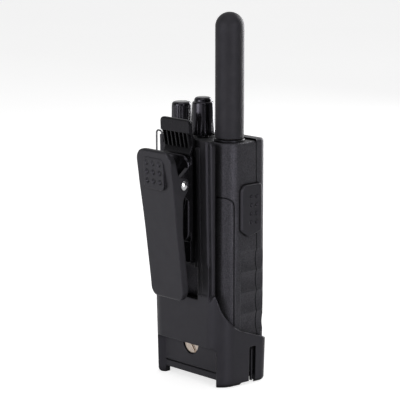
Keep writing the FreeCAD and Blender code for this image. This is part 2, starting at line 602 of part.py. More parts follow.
def cup_blank():
    """Cup before its rim is cut: a flaring box with large back corners and a rounded foot."""
    foot = cup_plan(CUP_HALF_WIDTH, CUP_FRONT, CUP_BACK, CUP_BACK_ROUND, CUP_FRONT_ROUND)
    rim = cup_plan(
        CUP_HALF_WIDTH + CUP_FLARE, CUP_FRONT - CUP_FLARE, CUP_BACK + CUP_FLARE_BACK,
        CUP_BACK_ROUND + 0.3, CUP_FRONT_ROUND + 0.3,
    )
    blank = Part.makeLoft([level_outline(foot, 0), level_outline(rim, CUP_FLARE_TOP)], True, True)
    return eased(blank, 2.2, lambda c, b: b.ZLength < 0.01 and c.z < 0.01)


def under_rim():
    """Everything under the cup's rim: low in front, sweeping up into the spine behind."""
    rim = [(17.6, CUP_FLARE_TOP, 0), (17.3, 48.0, 30), (14.0, 36.0, 14), (6.5, 28.2, 20), (-30, 16.0, 0)]
    return prism([(-30, -1, 0), (40, -1, 0), (40, CUP_FLARE_TOP, 0)] + rim, "x", -40, 40)


def lean(low, high, z):
    """y at height z of a back surface that stands at low at the spine's foot and at high at its top."""
    return low + (high - low) * (z - SPINE_LOW) / (SPINE_TOP - SPINE_LOW)


def behind_lean(low, high, start_y, start_z, x0, x1):
    """Everything behind a leaning back surface, with a slope below it that starts at start_y, start_z."""
    top = SPINE_TOP + 10
    corners = [
        (start_y, start_z, 0),
        (low, SPINE_LOW, 0),
        (lean(low, high, top), top, 0),
        (40, top, 0),
        (40, start_z, 0),
    ]
    return prism(corners, "x", x0, x1)


def leaning_slab(half_width, low, high, bottom, edge_round):
    """Upright plate with a vertical front and a back that leans, its two long back edges rounded."""
    front = SPINE_FRONT - 0.1
    corners = [
        (front, bottom, 0),
        (lean(low, high, bottom), bottom, 0),
        (lean(low, high, SPINE_TOP), SPINE_TOP, 0),
        (front, SPINE_TOP, 0),
    ]
    slab = prism(corners, "x", -half_width, half_width)
    return eased(slab, edge_round, lambda c, b: b.XLength < 0.01 and b.ZLength > 20 and c.y > front + 1)


def spine():
    """Back plate with a rail on each side of the clip's channel."""
    plate = leaning_slab(SPINE_HALF_WIDTH, LEDGE_LOW, LEDGE_HIGH, 38, 0.6)
    rails = leaning_slab(RAIL_HALF_WIDTH, RAIL_LOW, RAIL_HIGH, 40, 0.8)
    crown = prism(mirrored([(SPINE_HALF_WIDTH, 30, 0), (SPINE_HALF_WIDTH, SPINE_TOP, 2.5)]), "y", 0, 40)
    return joined([plate, rails]).common(crown)


def radio_pocket():
    """The space for the radio: close around its foot, and open behind it up to the spine."""
    foot_plan = cup_plan(POCKET_HALF_WIDTH, POCKET_FRONT, RADIO_BACK + SEAM, 7.7, 2.2)
    open_plan = cup_plan(POCKET_HALF_WIDTH, POCKET_FRONT, SPINE_FRONT, 9.0, 2.2)
    foot = prism(foot_plan, "z", RADIO_BOTTOM - SEAM, 60)
    above = prism(open_plan, "z", PANEL_TOP + 2.0, 130)
    screw_way = block(-6.0, 6.0, RADIO_BACK, LATCH_HEAD_BACK + SEAM, LATCH_Z, PANEL_TOP + 2.1)
    return [foot, above, screw_way]


def spine_pads():
    """Two upright ribs that hold the radio's back away from the spine."""
    low, high, front = PANEL_TOP + 1.5, 112.0, RADIO_BACK + 0.2
    behind = SPINE_FRONT + 0.5
    rib = prism([(front, low, 0), (behind, low, 0), (behind, high, 0), (front, high - 4, 0)], "x", 11.5, 13.0)
    return both_sides(rib)


def foot_cuts():
    """Recess in the lower back, the space under the floor, and the slots in the cup's side walls."""
    wall, wall_back = PANEL_HALF_WIDTH + 4.2, PANEL_BACK + 3.3
    slanted = prism(
        mirrored([(PANEL_HALF_WIDTH, PANEL_BACK, 0), (wall, wall_back, 0), (wall, 30, 0)]), "z", -1, PANEL_TOP
    )
    recess = slanted.common(prism(rounded_rect(0.1 - wall, wall - 0.1, -6, PANEL_TOP, 3.5), "y", 12, 30))
    between_feet = block(-PANEL_HALF_WIDTH - 0.2, PANEL_HALF_WIDTH + 0.2, POCKET_FRONT, 30, -1, CUP_FLOOR)
    under_floor = block(-24.0, 24.0, -9.0, 10.5, -1, CUP_FLOOR)
    side_notch = block(-40, 40, -4.5, 3.1, -1, 1.3)
    latch_window = rod(0, 8, LATCH_Z, Y_AXIS, LATCH_R + 0.2, 8).common(block(-10, 10, 0, 30, 0, PANEL_TOP))
    groove = block(-PANEL_HALF_WIDTH, PANEL_HALF_WIDTH, PANEL_BACK - 0.5, 15, 6.3, 7.0)
    slot = prism(rounded_rect(-6.2, -2.0, -5, 18.6, 0.6), "x", 20, 40)
    slot_rib = block(20, CUP_HALF_WIDTH - 0.35, -4.5, -3.7, 1.4, 17.0)
    contact_window = prism(rounded_rect(-13, 13, -4.5, 5.5, 2), "z", 0, 10)
    side_slots = both_sides(slot.cut(slot_rib))
    return [recess, between_feet, under_floor, side_notch, latch_window, groove, side_slots, contact_window]


def channel_cuts():
    """The clip's channel, its undercut slot and window, the lines on the rails and the wire loop's corner."""
    back_wall = SPINE_FRONT + 0.5
    window = block(-CHANNEL_HALF_WIDTH, CHANNEL_HALF_WIDTH, SPINE_FRONT - 1, 30, CHANNEL_BOTTOM, SLOT_LOW + 1)
    channel = block(-CHANNEL_HALF_WIDTH, CHANNEL_HALF_WIDTH, CHANNEL_FLOOR, 30, CHANNEL_BOTTOM, 130)
    neck_slot = block(-8.2, 8.2, back_wall, 30, SLOT_LOW, 130)
    foot_slot = block(-10.2, 10.2, back_wall, SLOT_LIP, SLOT_LOW, 130)
    strip_low = CHANNEL_HALF_WIDTH - 0.5
    strip_end = both_sides(block(strip_low, STRIP_HALF_WIDTH, CHANNEL_FLOOR, 30, STRIP_TOP, 130))
    line_depth, line_end = 0.25, STRIP_HALF_WIDTH + 0.3
    line = behind_lean(
        RAIL_LOW - line_depth, RAIL_HIGH - line_depth, RAIL_LOW, 44, STRIP_HALF_WIDTH, line_end
    )
    eye = block(EYE_X, 30, 10, 30, LOOP_LOW - 0.6, 130)
    return [window, channel, neck_slot, foot_slot, strip_end, both_sides(line), eye]


def holster_shell():
    rail_relief = behind_lean(RAIL_LOW, RAIL_HIGH, 18.4, 42.0, -RAIL_HALF_WIDTH, RAIL_HALF_WIDTH)
    ledge_relief = both_sides(behind_lean(LEDGE_LOW, LEDGE_HIGH, 18.2, 40.0, RAIL_HALF_WIDTH, 40))
    cup = cup_blank().common(under_rim()).cut([rail_relief, ledge_relief])
    shell = joined([cup, spine()]).cut(radio_pocket()).fuse(spine_pads())
    return shell.cut(foot_cuts() + channel_cuts() + [lanyard_loop()])


def lanyard_loop():
    """Wire staple over the cut-out upper corner of the spine, for a safety cord."""
    inner_x, round_r = 14.8, 1.4
    low, inner_low, high = LOOP_LOW - 1.6, SPINE_TOP - 3, LOOP_HIGH
    corner = round_r * (1 - math.sqrt(0.5))
    path = [
        Part.makeLine(V(LOOP_X, LOOP_Y, low), V(LOOP_X, LOOP_Y, high - round_r)),
        Part.Arc(
            V(LOOP_X, LOOP_Y, high - round_r),
            V(LOOP_X - corner, LOOP_Y, high - corner),
            V(LOOP_X - round_r, LOOP_Y, high),
        ).toShape(),
        Part.makeLine(V(LOOP_X - round_r, LOOP_Y, high), V(inner_x + round_r, LOOP_Y, high)),
        Part.Arc(
            V(inner_x + round_r, LOOP_Y, high),
            V(inner_x + corner, LOOP_Y, high - corner),
            V(inner_x, LOOP_Y, high - round_r),
        ).toShape(),
        Part.makeLine(V(inner_x, LOOP_Y, high - round_r), V(inner_x, LOOP_Y, inner_low)),
    ]
    section = Part.Wire(Part.makeCircle(LOOP_WIRE_R, V(LOOP_X, LOOP_Y, low), Z_AXIS))
    return Part.Wire(path).makePipeShell([section], True, True)


# ---- belt clip ----
def clip_base():
    """Foot that sits in the spine's slot, a neck, a plate in two layers, and two ears for the pin."""
    half = PLATE_HALF_WIDTH
    plate = prism(rounded_rect(-half, half, PLATE_LOW, PLATE_TOP, 1.5), "y", PLATE_FRONT, PLATE_STEP)
    raised = prism(rounded_rect(-half, half, PLATE_LOW, PLATE_TOP, 5.5), "y", PLATE_STEP - 0.1, PLATE_BACK)
    raised = eased(raised, 0.9, lambda c, b: abs(c.y - PLATE_BACK) < 0.01 and b.YLength < 0.01)
    neck = block(-8.0, 8.0, FOOT_BACK - 0.2, PLATE_FRONT + 0.1, SLOT_LOW + 3.5, BASE_TOP)
    foot = prism(rounded_rect(-10.0, 10.0, SLOT_LOW + 3.2, BASE_TOP, 1.5), "y", SPINE_FRONT + 0.7, FOOT_BACK)
    ear = prism([(22.0, 90.5, 0), (29.9, 97.2, 0), (29.2, 102.4, 0), (22.0, 108.5, 0)], "x", half - 2.1, half)
    ears = both_sides(ear.fuse(rod(half - 2.1, PIN_Y, PIN_Z, X_AXIS, 3.2, 2.1)))
    pin_bore = rod(-20, PIN_Y, PIN_Z, X_AXIS, PIN_R + RUNNING, 40)
    coil_seat = rod(-7.7, PIN_Y, PIN_Z, X_AXIS, 4.6, 15.4)
    tab_seat = rod(-20, TAB_HINGE_Y, TAB_HINGE_Z, X_AXIS, TAB_HINGE_R + 0.05, 40)
    return joined([plate, raised, neck, foot, ears]).cut([pin_bore, coil_seat, tab_seat])


def release_tab():
    """Thumb tab on top of the clip base: it leans back over the holster, with upright ribs below its pad."""
    profile = [
        (TAB_HINGE_Y - 0.7, TAB_HINGE_Z, 0),
        (TAB_HINGE_Y + 0.7, TAB_HINGE_Z, 0),
        (20.6, 117.6, 2),
        (22.0, 123.2, 0),
        (23.4, 124.0, 0.6),
        (23.7, TAB_TOP, 0.8),
        (21.9, TAB_TOP, 0.8),
        (20.9, 123.8, 2),
        (19.0, 117.8, 2),
    ]
    half, base_half = TAB_HALF_WIDTH, PLATE_HALF_WIDTH - 0.2
    side = prism(profile, "x", -half, half)
    corners = [(base_half, 112, 0), (base_half, 116, 2), (half, 120, 2), (half, TAB_TOP, 2.4)]
    front = prism(mirrored(corners), "y", 10, 30)
    ribs = []
    for i in range(7):
        x = (i - 3) * 2.95
        rib = [(19.8, 116.4, 0), (21.9, 116.6, 0.3), (23.4, 124.1, 0.1), (21.5, 124.6, 0)]
        ribs.append(prism(rib, "x", x - 0.35, x + 0.35))
    knuckle = rod(-base_half, TAB_HINGE_Y, TAB_HINGE_Z, X_AXIS, TAB_HINGE_R, 2 * base_half)
    return joined([side.common(front), knuckle] + ribs)


def lever_side_profile():
    """Side view of the lever, as (y, z, r): its outer back, then its inner edge around the pin."""
    return [
        (37.5, LEVER_TOP_Z, 1.2),
        (33.5, 88.0, 60),
        (28.8, 51.0, 40),
        (28.0, LEVER_BOTTOM, 1.4),
        (25.8, LEVER_BOTTOM, 0.7),
        (24.6, 49.0, 3),
        (28.2, 77.0, 30),
        (28.4, 93.0, 6),
        (25.6, 97.0, 1.5),
        (25.0, 102.6, 2.5),
        (31.6, 104.2, 2.5),
        (34.6, LEVER_TOP_Z, 0.8),
    ]


def lever_front(inset):
    """Front view of the lever, as (x, z, r), made smaller by an inset."""
    bottom_half, top_half = LEVER_BOTTOM_HALF - inset, LEVER_TOP_HALF - inset
    return mirrored(
        [
            (bottom_half, LEVER_BOTTOM, 4.8 - inset),
            (bottom_half + 0.2, 78, 60),
            (top_half, 98, 30),
            (top_half, LEVER_TOP_Z, 6.2 - inset),
        ]
    )


def clip_lever():
    """Lever of the belt clip: a hollow-backed shell with side walls that turn on the pin, and a thumb pad."""
    solid = prism(lever_side_profile(), "x", -LEVER_TOP_HALF - 1, LEVER_TOP_HALF + 1)
    lever = solid.common(prism(lever_front(0), "y", 15, 45))
    hollow_side = [
        (35.6, 118, 0),
        (35.4, LEVER_TOP_Z, 0),
        (31.6, 88.0, 60),
        (26.8, 51.0, 40),
        (26.5, 46.6, 0),
        (10, 46.6, 0),
        (10, 118, 0),
    ]
    hollow = prism(hollow_side, "x", -LEVER_TOP_HALF, LEVER_TOP_HALF)
    hollow_plan = [(x, z, r) for x, z, r in lever_front(LEVER_WALL)]
    hollow = hollow.common(prism(hollow_plan, "y", 5, 45).fuse(block(-10.9, 10.9, 5, 45, 105, 120)))
    lever = joined([lever.cut(hollow), grip_pad()])
    return lever.cut(rod(-20, PIN_Y, PIN_Z, X_AXIS, PIN_R + RUNNING, 40))


def grip_pad():
    """Wedge-shaped thumb pad near the lever's top, with dimples. It stands out most at its lower edge."""
    low_y, high_y = 36.3, 37.1
    slope = (high_y - low_y) / (PAD_HIGH - PAD_LOW)
    corners = [(36.3, PAD_HIGH, 0), (high_y, PAD_HIGH, 0.1), (low_y, PAD_LOW, 0.5), (34.0, PAD_LOW, 0)]
    wedge = prism(corners, "x", -PAD_HALF_WIDTH, PAD_HALF_WIDTH)
    plan = prism(rounded_rect(-PAD_HALF_WIDTH, PAD_HALF_WIDTH, PAD_LOW, PAD_HIGH, 2.4), "y", 20, 50)
    first_row, dimple_r, lift = PAD_LOW + 4.0, 1.7, 0.95
    dimples = grip_dimples(
        0, first_row, 3, 3, 4.6, 4.4, dimple_r, lambda u, v: V(u, low_y + lift + slope * (v - PAD_LOW), v)
    )
    return wedge.common(plan).cut(dimples)


def clip_pin():
    """Pin of the lever, with a domed head at each end."""
    pin = rod(-PIN_HALF_LENGTH, PIN_Y, PIN_Z, X_AXIS, PIN_R, 2 * PIN_HALF_LENGTH)
    dome_r, dome_height = 3.65, 0.9
    beyond = block(PIN_HALF_LENGTH, PIN_HALF_LENGTH + 5, PIN_Y - 5, PIN_Y + 5, PIN_Z - 5, PIN_Z + 5)
    ball = Part.makeSphere(dome_r, V(PIN_HALF_LENGTH + dome_height - dome_r, PIN_Y, PIN_Z))
    return joined([pin, both_sides(ball.common(beyond))])


def clip_spring():
    """Torsion spring: coils around the pin, one leg on the base's plate and one under the lever's grip."""
    wire_r, coil_r, pitch, turns = 0.55, 2.7, 1.35, 7.5
    length = pitch * turns
    helix = Part.makeHelix(pitch, length, coil_r)
    helix.Placement = FreeCAD.Placement(V(-length / 2, PIN_Y, PIN_Z), FreeCAD.Rotation(Z_AXIS, X_AXIS))
    ends = [V(-length / 2, PIN_Y, PIN_Z - coil_r), V(length / 2, PIN_Y, PIN_Z + coil_r)]
    tips = [V(-length / 2, 24.5, PIN_Z - 13), V(length / 2, 33.1, PIN_Z + 10)]
    section = Part.Wire(Part.makeCircle(wire_r, ends[0], Y_AXIS))
    coils = Part.Wire(helix.Edges).makePipeShell([section], True, True)
    legs = [Part.makeCylinder(wire_r, (tip - end).Length, end, tip - end) for end, tip in zip(ends, tips)]
    knees = [Part.makeSphere(wire_r * 1.001, end) for end in ends]
    return joined([coils] + knees + legs)


def make_all():
    rear, front = radio_body(RADIO_TOP), radio_body(COVER_TOP)
    return {
        "rear_housing": rear_housing(rear),
        "front_cover": front_cover(front),
        "battery_door": battery_door(rear),
        "battery_latch_screw": latch_screw(),
        "battery_pack": battery_pack(),
        "battery_contacts": battery_contacts(),
        "chassis_frame": chassis_frame(),
        "main_board": main_board(),
        "shield_cans": shield_cans(),
        "speaker": speaker(),
        "speaker_screen": speaker_screen(),
        "speaker_gasket": speaker_gasket(),
        "microphone": microphone(),
        "housing_seal": housing_seal(),
        "housing_screws": housing_screws(),
        "antenna_socket": antenna_socket(),
        "antenna_core": antenna_core(),
        "antenna_sheath": antenna_sheath(),
        "antenna_collar": antenna_collar(),
        "channel_knob": channel_knob(),
        "channel_shaft": knob_shaft(CHANNEL_X, 131.0),
        "channel_switch": control_body(CHANNEL_X),
        "volume_knob": volume_knob(),
        "volume_shaft": knob_shaft(VOLUME_X, 129.0),
        "volume_control": control_body(VOLUME_X),
        "status_lens": status_lens(),
        "talk_button": talk_button(),
        "talk_plunger": talk_plunger(),
        "talk_switch": talk_switch(),
        "accessory_jack": accessory_jack(),
        "port_cover": port_cover(),
        "charge_contacts": charge_contacts(),
        "holster_shell": holster_shell(),
        "lanyard_loop": lanyard_loop(),
        "clip_base": clip_base(),
        "release_tab": release_tab(),
        "clip_lever": clip_lever(),
        "clip_pin": clip_pin(),
        "clip_spring": clip_spring(),
    }


if __name__ == "__main__":
    os.makedirs("parts", exist_ok=True)
    for name, shape in make_all().items():
        good = shape.isValid() and all(s.Volume > 0 for s in shape.Solids)
        print(f"{name:22s} solids {len(shape.Solids)} volume {shape.Volume:9.1f} valid {good}")
        shape.exportStep(f"parts/{name}.step")
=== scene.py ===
"""Looks of the portable radio in its carry holster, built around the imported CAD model."""

import json
import math

import bpy
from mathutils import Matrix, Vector


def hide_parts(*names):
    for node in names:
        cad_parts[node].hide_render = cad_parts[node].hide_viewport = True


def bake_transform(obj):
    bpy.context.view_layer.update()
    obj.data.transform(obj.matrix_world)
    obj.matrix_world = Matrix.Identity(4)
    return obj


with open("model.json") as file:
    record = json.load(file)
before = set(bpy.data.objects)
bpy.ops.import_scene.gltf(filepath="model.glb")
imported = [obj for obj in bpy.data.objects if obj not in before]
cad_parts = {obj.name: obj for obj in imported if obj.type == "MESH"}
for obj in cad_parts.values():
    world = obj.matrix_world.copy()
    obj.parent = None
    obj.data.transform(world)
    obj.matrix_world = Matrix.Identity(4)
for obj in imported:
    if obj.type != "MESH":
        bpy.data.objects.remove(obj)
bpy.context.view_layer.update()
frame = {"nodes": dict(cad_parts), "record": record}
NODES = frame["nodes"]

MM = 0.001

COOL = (1.0, 1.0, 1.06)  # tint of the dark plastics
SHEEN = (0.87, 0.83, 1.0, 1.0)  # they reflect a little violet
SEAM_LOW, SEAM_HIGH = (-8.65 * MM, 5.8 * MM), (-7.25 * MM, 119.1 * MM)  # y and z of the case joint's two ends
SEAM_CORE, SEAM_REACH = 0.15 * MM, 0.4 * MM  # how far from the joint its shadow is full, and where it ends
GAP_REACH = 3.5 * MM  # surfaces closer together than this darken each other with painted shade
GAP_SHADE = 0.15  # how much of its tone a plastic keeps deep in a gap, where shade is painted
PATCH_DARK, PATCH_LIGHT = 0.82, 1.18  # uneven tone of a moulded plastic
SMALL_EDGE = 0.2 * MM  # radius that small metal and inner parts seem to have on their edges


# ---------------------------------------------------------------- node helpers
class Nodes:
    """A shader node tree under construction: short calls that add and link nodes."""

    def __init__(self, tree):
        self.tree = tree

    def add(self, kind, **settings):
        made = self.tree.nodes.new(kind)
        for key, value in settings.items():
            setattr(made, key, value)
        return made

    def feed(self, socket, value):
        if isinstance(value, bpy.types.NodeSocket):
            self.tree.links.new(value, socket)
        else:
            socket.default_value = value

    def place(self, stretch=(1.0, 1.0, 1.0)):
        """Position in the object's own frame, stretched per axis."""
        where = self.add("ShaderNodeTexCoord").outputs["Object"]
        if stretch == (1.0, 1.0, 1.0):
            return where
        mapping = self.add("ShaderNodeMapping")
        self.feed(mapping.inputs["Vector"], where)
        mapping.inputs["Scale"].default_value = stretch
        return mapping.outputs["Vector"]

    def noise(self, size, detail=2.0, roughness=0.5, stretch=(1.0, 1.0, 1.0)):
        """Noise whose lumps are about the given size in metres."""
        made = self.add("ShaderNodeTexNoise")
        self.feed(made.inputs["Vector"], self.place(stretch))
        made.inputs["Scale"].default_value = 1.0 / size
        made.inputs["Detail"].default_value = detail
        made.inputs["Roughness"].default_value = roughness
        return made.outputs["Fac"]

    def ramp(self, value, low, high, to_low, to_high):
        """Value carried from low..high over to to_low..to_high, and held at the ends."""
        made = self.add("ShaderNodeMapRange")
        self.feed(made.inputs["Value"], value)
        self.feed(made.inputs["From Min"], low)
        self.feed(made.inputs["From Max"], high)
        self.feed(made.inputs["To Min"], to_low)
        self.feed(made.inputs["To Max"], to_high)
        return made.outputs["Result"]

    def spread(self, noise, low, high):
        """A noise's usual values carried over to low..high."""
        return self.ramp(noise, 0.3, 0.7, low, high)

    def math(self, operation, a, b=0.0):
        made = self.add("ShaderNodeMath", operation=operation)
        self.feed(made.inputs[0], a)
        self.feed(made.inputs[1], b)
        return made.outputs["Value"]

    def mix(self, factor, a, b):
        made = self.add("ShaderNodeMix", data_type="RGBA")
        self.feed(made.inputs["Factor"], factor)
        self.feed(made.inputs["A"], a)
        self.feed(made.inputs["B"], b)
        return made.outputs["Result"]

    def bump(self, height, depth, under=None):
        made = self.add("ShaderNodeBump")
        made.inputs["Strength"].default_value = 1.0
        made.inputs["Distance"].default_value = depth
        self.feed(made.inputs["Height"], height)
        if under is not None:
            self.feed(made.inputs["Normal"], under)
        return made.outputs["Normal"]

    def dot(self, a, b):
        made = self.add("ShaderNodeVectorMath", operation="DOT_PRODUCT")
        self.feed(made.inputs[0], a)
        self.feed(made.inputs[1], b)
        return made.outputs["Value"]

    def rounded(self, width):
        """Normal that turns around every edge over the given width in metres."""
        made = self.add("ShaderNodeBevel", samples=6)
        made.inputs["Radius"].default_value = width
        return made.outputs["Normal"]

    def edges(self, rounded_normal):
        """1 along sharp edges, 0 on flats."""
        flat = self.add("ShaderNodeNewGeometry").outputs["Normal"]
        return self.ramp(self.dot(rounded_normal, flat), 0.97, 0.80, 0.0, 1.0)

    def openness(self, reach):
        """1 on open surfaces, less in corners and gaps narrower than the reach in metres."""
        made = self.add("ShaderNodeAmbientOcclusion", samples=6)
        made.inputs["Distance"].default_value = reach
        return self.ramp(made.outputs["AO"], 0.35, 0.9, 0.2, 1.0)

    def seen_by_camera(self, value, otherwise):
        seen = self.add("ShaderNodeLightPath").outputs["Is Camera Ray"]
        return self.ramp(seen, 0.0, 1.0, otherwise, value)


class Surface(Nodes):
    """A material under construction."""

    def __init__(self, name):
        self.material = bpy.data.materials.new(name)
        self.material.use_nodes = True
        super().__init__(self.material.node_tree)
        self.shader = self.tree.nodes["Principled BSDF"]


def grey(value, tint):
    return (value * tint[0], value * tint[1], value * tint[2], 1.0)


def scaled(colour, factor, lift=0.0):
    """The colour made brighter or darker, with full opacity and no channel over 1."""
    return tuple(min(1.0, channel * factor + lift) for channel in colour) + (1.0,)


def seam_line(s):
    """0 on the joint of front cover and rear housing, 1 away from it."""
    parts = s.add("ShaderNodeSeparateXYZ")
    s.feed(parts.inputs["Vector"], s.place())
    joint = s.ramp(parts.outputs["Z"], SEAM_LOW[1], SEAM_HIGH[1], SEAM_LOW[0], SEAM_HIGH[0])
    away = s.math("ABSOLUTE", s.math("SUBTRACT", parts.outputs["Y"], joint))
    return s.ramp(away, SEAM_CORE, SEAM_REACH, 0.0, 1.0)


def moulded(
    name,
    shade,
    roughness,
    grain=0.0,
    grain_size=0.4 * MM,
    wear=0.25,
    tint=COOL,
    specular=0.5,
    seam=False,
    edge=0.5 * MM,
    speckle=0.0,
):
    """Dark moulded plastic or rubber: mottled tone, uneven gloss, surface grain, rubbed edges, and painted
    shade in gaps and along the case joint.
    """
    s = Surface(name)
    soft = s.rounded(edge)
    blotches = s.noise(9 * MM, 3.0, 0.6)
    rub = s.math("MULTIPLY", s.edges(soft), s.ramp(s.noise(2.5 * MM, 4.0, 0.7), 0.42, 0.62, 0.0, wear))
    patches = s.spread(blotches, 0.0, 1.0)
    tone = s.mix(patches, grey(shade * PATCH_DARK, tint), grey(shade * PATCH_LIGHT, tint))
    # painted shade: tone and gloss get darker in corners and narrow gaps, and along the case joint where seam
    # is set
    unshaded = s.openness(GAP_REACH)
    if seam:
        unshaded = s.math("MULTIPLY", unshaded, seam_line(s))
    tone = s.mix(unshaded, grey(shade * GAP_SHADE, tint), tone)
    rubbed_tone = grey(shade * 3.2 + 0.02, tint)
    s.feed(s.shader.inputs["Base Color"], s.mix(rub, tone, rubbed_tone))
    uneven = s.spread(s.noise(4 * MM, 4.0, 0.65), roughness - 0.05, roughness + 0.06)
    s.feed(s.shader.inputs["Roughness"], s.math("SUBTRACT", uneven, s.math("MULTIPLY", rub, 0.2)))
    gloss = s.math("MULTIPLY", unshaded, specular)
    if speckle:
        spots = s.ramp(s.noise(0.55 * MM, 2.0, 0.6), 0.36, 0.64, 1.0 - speckle, 1.0 + speckle)
        gloss = s.math("MULTIPLY", gloss, spots)
    s.feed(s.shader.inputs["Specular IOR Level"], gloss)
    s.shader.inputs["Specular Tint"].default_value = SHEEN
    relief = s.bump(s.noise(6 * MM, 2.0, 0.5), 0.03 * MM, soft)
    if grain:
        pits = s.add("ShaderNodeTexVoronoi", feature="SMOOTH_F1")
        s.feed(pits.inputs["Vector"], s.place())
        pits.inputs["Scale"].default_value = 1.0 / grain_size
        relief = s.bump(pits.outputs["Distance"], grain, relief)
        relief = s.bump(s.noise(grain_size * 0.5, 2.0, 0.6), grain * 0.6, relief)
    s.feed(s.shader.inputs["Normal"], relief)
    return s.material


def metal(name, colour, roughness, brushed=(1.0, 1.0, 1.0), brush_depth=0.004 * MM):
    """Bare metal with brushed lines along the axis whose stretch is small, stains and scuffed edges."""
    s = Surface(name)
    soft = s.rounded(SMALL_EDGE)
    stain = s.ramp(s.noise(3 * MM, 4.0, 0.6), 0.3, 0.75, 0.0, 1.0)
    rub = s.math("MULTIPLY", s.edges(soft), 0.6)
    base = s.mix(stain, scaled(colour, 1.0), scaled(colour, 0.7))
    s.feed(s.shader.inputs["Base Color"], s.mix(rub, base, scaled(colour, 1.2)))
    s.shader.inputs["Metallic"].default_value = 1.0
    lines = s.noise(0.25 * MM, 3.0, 0.6, brushed)
    s.feed(s.shader.inputs["Roughness"], s.spread(lines, roughness - 0.06, roughness + 0.1))
    s.feed(s.shader.inputs["Normal"], s.bump(lines, brush_depth, soft))
    return s.material


def painted(name, colour, roughness, metallic=0.0):
    """Plain inner parts: coloured surface with mottling, fine grain and rubbed edges."""
    s = Surface(name)
    soft = s.rounded(SMALL_EDGE)
    tone = s.spread(s.noise(3 * MM, 4.0, 0.6), 0.0, 1.0)
    base = s.mix(tone, scaled(colour, 0.75), scaled(colour, 1.15))
    rub = s.math("MULTIPLY", s.edges(soft), 0.35)
    s.feed(s.shader.inputs["Base Color"], s.mix(rub, base, scaled(colour, 1.8, lift=0.05)))
    s.shader.inputs["Metallic"].default_value = metallic
    uneven = s.spread(s.noise(1.5 * MM, 3.0), roughness - 0.06, roughness + 0.08)
    s.feed(s.shader.inputs["Roughness"], uneven)
    s.feed(s.shader.inputs["Normal"], s.bump(s.noise(0.3 * MM, 3.0), 0.006 * MM, soft))
    return s.material


def tinted_lens(name, colour):
    """Coloured clear plastic with faint streaks."""
    s = Surface(name)
    tone = s.spread(s.noise(0.8 * MM, 3.0), 0.0, 1.0)
    s.feed(s.shader.inputs["Base Color"], s.mix(tone, scaled(colour, 0.7), scaled(colour, 1.0)))
    s.feed(s.shader.inputs["Roughness"], s.spread(s.noise(0.5 * MM), 0.06, 0.16))
    s.shader.inputs["Transmission Weight"].default_value = 0.35
    s.feed(s.shader.inputs["Normal"], s.bump(s.noise(0.2 * MM), 0.004 * MM))
    return s.material


# ---------------------------------------------------------------- finishes
def finishes():
    """Material for each of the record's slots, and a darker satin black that no slot uses, whose darker tone
    is painted shade.
    """
    return {
        "housing_black": moulded(
            "housing_black",
            0.016,
            0.44,
            grain=0.09 * MM,
            grain_size=0.7 * MM,
            wear=0.3,
            specular=0.55,
            seam=True,
            speckle=0.36,
        ),
        "holster_black": moulded("holster_black", 0.008, 0.38, wear=0.35, edge=0.8 * MM),
        "clip_black": moulded("clip_black", 0.010, 0.36, wear=0.3, edge=0.8 * MM),
        # darker, satin copy of the clip's black: its darker tone is painted shade
        "tab_black": moulded("tab_black", 0.004, 0.3, wear=0.2, specular=0.28),
        # the clip base's very dark tone is partly its own glossy black and partly painted shade in the recess
        # behind the lever
        "base_black": moulded("base_black", 0.004, 0.16, wear=0.2),
        "antenna_black": moulded(
            "antenna_black",
            0.021,
            0.52,
            grain=0.012 * MM,
            grain_size=0.3 * MM,
            wear=0.1,
            tint=(1.0, 0.97, 1.08),
            specular=0.2,
        ),
        "button_rubber": moulded(
            "button_rubber", 0.01, 0.5, grain=0.015 * MM, grain_size=0.3 * MM, wear=0.15
        ),
        "seal_rubber": moulded("seal_rubber", 0.07, 0.7, grain=0.02 * MM, wear=0.1),
        "knob_black": moulded("knob_black", 0.005, 0.14, wear=0.25),
        "lens": tinted_lens("lens", (0.55, 0.06, 0.03)),
        "screw_steel": metal("screw_steel", (0.78, 0.67, 0.58), 0.3, brushed=(0.15, 1.0, 1.0)),
        "bright_steel": metal("bright_steel", (0.82, 0.82, 0.84), 0.14),
        "spring_steel": metal("spring_steel", (0.16, 0.16, 0.17), 0.3, brushed=(1.0, 1.0, 0.1)),
        "brass_parts": metal("brass_parts", (0.75, 0.58, 0.28), 0.28),
        "gold_contacts": metal("gold_contacts", (0.88, 0.68, 0.30), 0.2),
        "cell_wrap": painted("cell_wrap", (0.05, 0.055, 0.06), 0.4),
        "board_green": painted("board_green", (0.02, 0.16, 0.07), 0.35),
        "frame_metal": painted("frame_metal", (0.5, 0.5, 0.52), 0.45, metallic=0.9),
        "can_metal": painted("can_metal", (0.6, 0.6, 0.6), 0.35, metallic=0.95),
        "speaker_parts": painted("speaker_parts", (0.06, 0.06, 0.06), 0.6),
        "screen_cloth": moulded("screen_cloth", 0.03, 0.8, grain=0.06 * MM, grain_size=0.5 * MM, wear=0.0),
        "control_bodies": painted("control_bodies", (0.5, 0.5, 0.5), 0.35, metallic=0.9),
    }


# nodes whose finish isn't the one of their slot: the release tab and the antenna collar get a darker satin
# black, whose darker tone is painted shade
OTHER_FINISH = {"release_tab": "tab_black", "antenna_collar": "tab_black"}


def dress_cad_nodes():
    """Gives every CAD node its finish."""
    made = finishes()
    for part in frame["record"]["subparts"]:
        node = NODES[part["node"]]
        slot = OTHER_FINISH.get(part["node"], part["material_slot"])
        node.data.materials.clear()
        node.data.materials.append(made[slot])
        node.data.polygons.foreach_set("material_index", [0] * len(node.data.polygons))


def make_spring():
    """The clip's torsion spring as an object of its own, copied from the CAD spring, which is hidden."""
    node = NODES["clip_spring"]
    spring = bpy.data.objects.new("torsion_spring", node.data.copy())
    bpy.context.scene.collection.objects.link(spring)
    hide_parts("clip_spring")
    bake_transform(spring)


